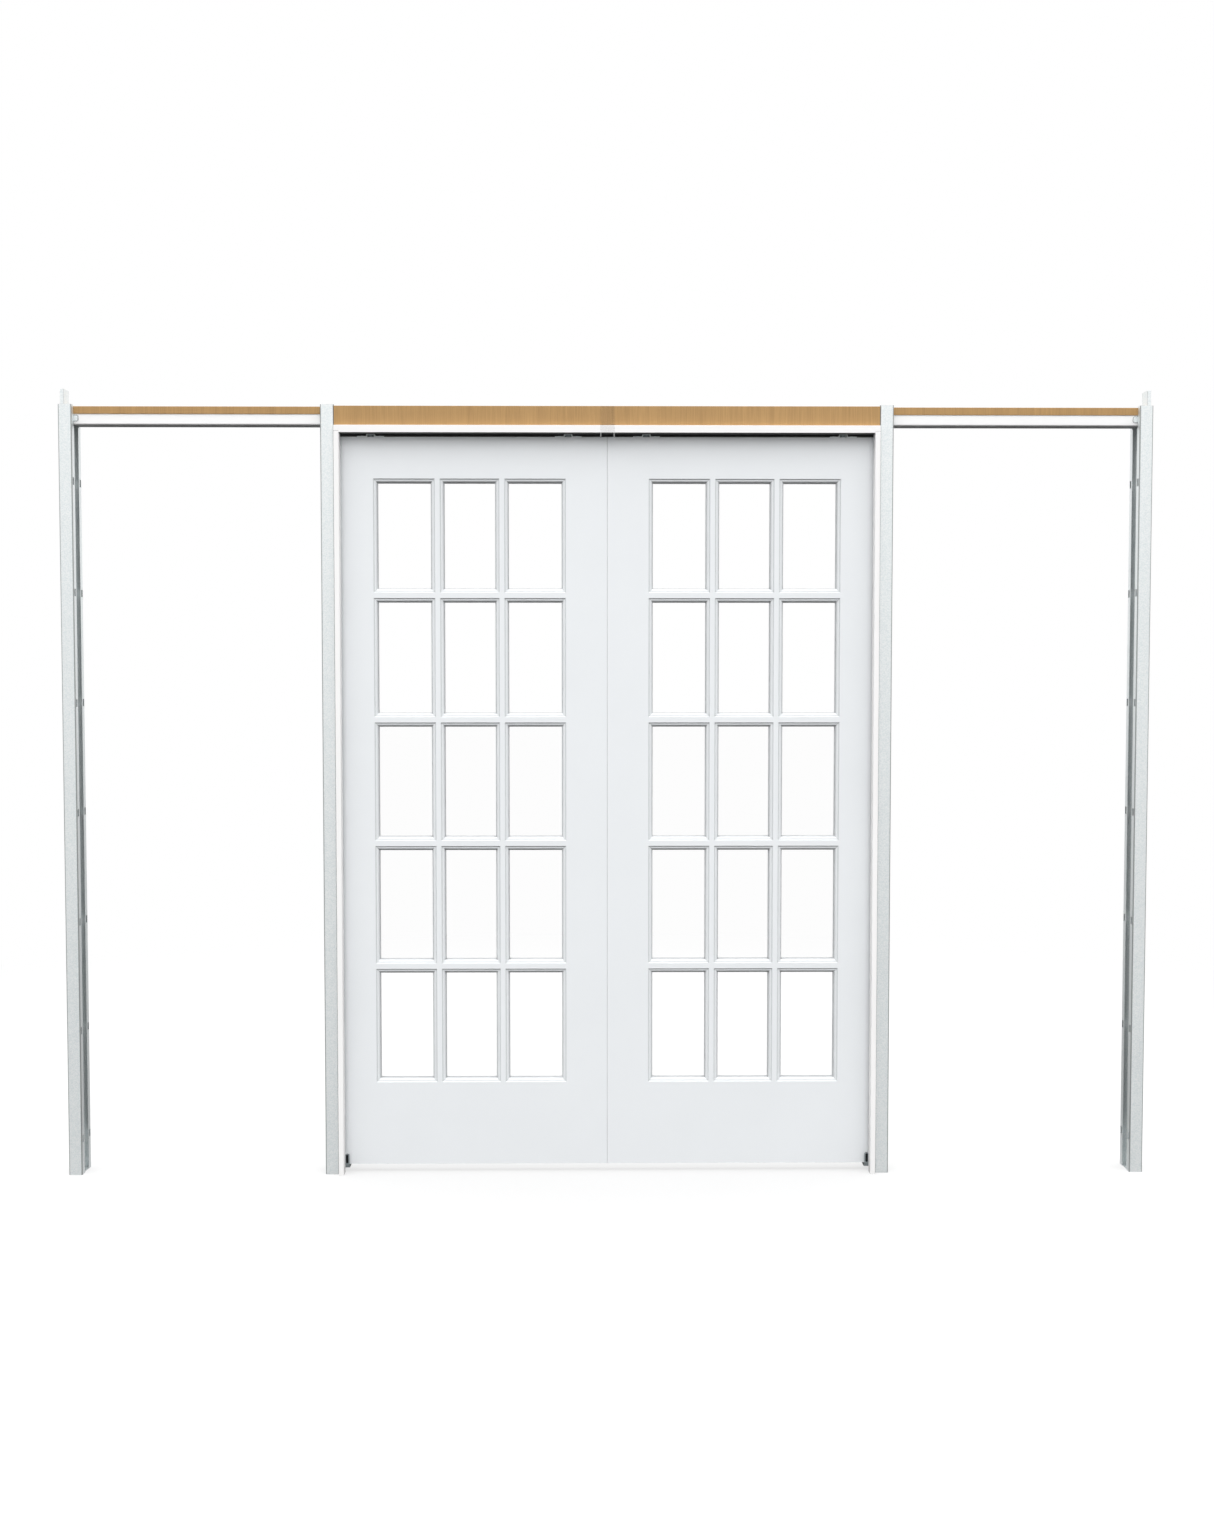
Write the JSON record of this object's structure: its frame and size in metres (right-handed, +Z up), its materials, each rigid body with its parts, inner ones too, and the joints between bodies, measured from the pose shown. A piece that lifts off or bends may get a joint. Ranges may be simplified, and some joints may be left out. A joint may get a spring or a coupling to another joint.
{
  "type": "french pocket door",
  "caption": "Pair of white glazed pocket doors that slide apart on a top track into an open frame of steel studs, with split jambs and a wooden header.",
  "frame": {"origin": "on the floor, at the middle of the frame's width and depth", "axes": "+X along the wall to the right as seen from the front, +Y through the wall away from the front, +Z up"},
  "size_m": [3.0116, 0.1178, 2.183],
  "materials": {
    "galvanised_steel": "zinc coated sheet, fine speckle, satin",
    "pine": "bare planed softwood",
    "primed_jamb": "white primer, satin",
    "painted_door": "smooth white paint, satin",
    "clear_glass": "clear float glass",
    "white_aluminium": "white powder coat on extruded aluminium",
    "zinc_hardware": "dull zinc plate",
    "wheel_nylon": "moulded nylon",
    "black_nylon": "moulded nylon",
    "black_rubber": "matt rubber",
    "clear_plastic": "thin clear sheet"
  },
  "bodies": {
    "frame": {"left_end_stud": "galvanised_steel", "right_end_stud": "galvanised_steel", "left_end_bracket": "galvanised_steel", "right_end_bracket": "galvanised_steel", "left_front_split_stud": "galvanised_steel", "left_rear_split_stud": "galvanised_steel", "right_front_split_stud": "galvanised_steel", "right_rear_split_stud": "galvanised_steel", "left_floor_plate": "galvanised_steel", "right_floor_plate": "galvanised_steel", "stud_bumpers": "black_rubber", "left_front_jamb": "primed_jamb", "left_rear_jamb": "primed_jamb", "right_front_jamb": "primed_jamb", "right_rear_jamb": "primed_jamb", "front_head_jamb": "primed_jamb", "rear_head_jamb": "primed_jamb", "front_fascia": "pine", "rear_fascia": "pine", "header_board": "pine", "track": "white_aluminium", "track_stops": "black_rubber", "header_clips": "clear_plastic", "left_floor_guide": "galvanised_steel", "right_floor_guide": "galvanised_steel", "guide_glides": "black_nylon", "guide_screws": "zinc_hardware"},
    "left_door": {"left_outer_stile": "painted_door", "left_meeting_stile": "painted_door", "left_top_rail": "painted_door", "left_bottom_rail": "painted_door", "left_glazing_bars": "painted_door", "left_glazing_beads": "painted_door", "left_panes": "clear_glass", "left_hanger_plates": "galvanised_steel", "left_hanger_bolts": "zinc_hardware", "left_lock_nuts": "zinc_hardware", "left_inner_trolley": "zinc_hardware", "left_outer_trolley": "zinc_hardware"},
    "left_wheels_1": {"left_wheels_1": "wheel_nylon"},
    "left_wheels_2": {"left_wheels_2": "wheel_nylon"},
    "left_wheels_3": {"left_wheels_3": "wheel_nylon"},
    "left_wheels_4": {"left_wheels_4": "wheel_nylon"},
    "right_door": {"right_outer_stile": "painted_door", "right_meeting_stile": "painted_door", "right_top_rail": "painted_door", "right_bottom_rail": "painted_door", "right_glazing_bars": "painted_door", "right_glazing_beads": "painted_door", "right_panes": "clear_glass", "right_hanger_plates": "galvanised_steel", "right_hanger_bolts": "zinc_hardware", "right_lock_nuts": "zinc_hardware", "right_inner_trolley": "zinc_hardware", "right_outer_trolley": "zinc_hardware"},
    "right_wheels_1": {"right_wheels_1": "wheel_nylon"},
    "right_wheels_2": {"right_wheels_2": "wheel_nylon"},
    "right_wheels_3": {"right_wheels_3": "wheel_nylon"},
    "right_wheels_4": {"right_wheels_4": "wheel_nylon"}
  },
  "joints": [
    {"name": "left_door_slide", "type": "slide", "parent": "frame", "child": "left_door", "axis": [-1, 0, 0], "range_m": [0, 0.73]},
    {"name": "left_wheels_1_roll", "type": "hinge", "parent": "left_door", "child": "left_wheels_1", "pos_m": [-0.0883, 0, 2.0963], "axis": [0, 1, 0], "continuous": true},
    {"name": "left_wheels_2_roll", "type": "hinge", "parent": "left_door", "child": "left_wheels_2", "pos_m": [-0.1283, 0, 2.0963], "axis": [0, 1, 0], "continuous": true},
    {"name": "left_wheels_3_roll", "type": "hinge", "parent": "left_door", "child": "left_wheels_3", "pos_m": [-0.6343, 0, 2.0963], "axis": [0, 1, 0], "continuous": true},
    {"name": "left_wheels_4_roll", "type": "hinge", "parent": "left_door", "child": "left_wheels_4", "pos_m": [-0.6743, 0, 2.0963], "axis": [0, 1, 0], "continuous": true},
    {"name": "right_door_slide", "type": "slide", "parent": "frame", "child": "right_door", "axis": [1, 0, 0], "range_m": [0, 0.73]},
    {"name": "right_wheels_1_roll", "type": "hinge", "parent": "right_door", "child": "right_wheels_1", "pos_m": [0.0883, 0, 2.0963], "axis": [0, 1, 0], "continuous": true},
    {"name": "right_wheels_2_roll", "type": "hinge", "parent": "right_door", "child": "right_wheels_2", "pos_m": [0.1283, 0, 2.0963], "axis": [0, 1, 0], "continuous": true},
    {"name": "right_wheels_3_roll", "type": "hinge", "parent": "right_door", "child": "right_wheels_3", "pos_m": [0.6343, 0, 2.0963], "axis": [0, 1, 0], "continuous": true},
    {"name": "right_wheels_4_roll", "type": "hinge", "parent": "right_door", "child": "right_wheels_4", "pos_m": [0.6743, 0, 2.0963], "axis": [0, 1, 0], "continuous": true}
  ],
  "couplings": [
    {"joint": "left_wheels_1_roll", "follows": "left_door_slide", "rad_per_m": -100},
    {"joint": "left_wheels_2_roll", "follows": "left_door_slide", "rad_per_m": -100},
    {"joint": "left_wheels_3_roll", "follows": "left_door_slide", "rad_per_m": -100},
    {"joint": "left_wheels_4_roll", "follows": "left_door_slide", "rad_per_m": -100},
    {"joint": "right_wheels_1_roll", "follows": "right_door_slide", "rad_per_m": 100},
    {"joint": "right_wheels_2_roll", "follows": "right_door_slide", "rad_per_m": 100},
    {"joint": "right_wheels_3_roll", "follows": "right_door_slide", "rad_per_m": 100},
    {"joint": "right_wheels_4_roll", "follows": "right_door_slide", "rad_per_m": 100}
  ]
}
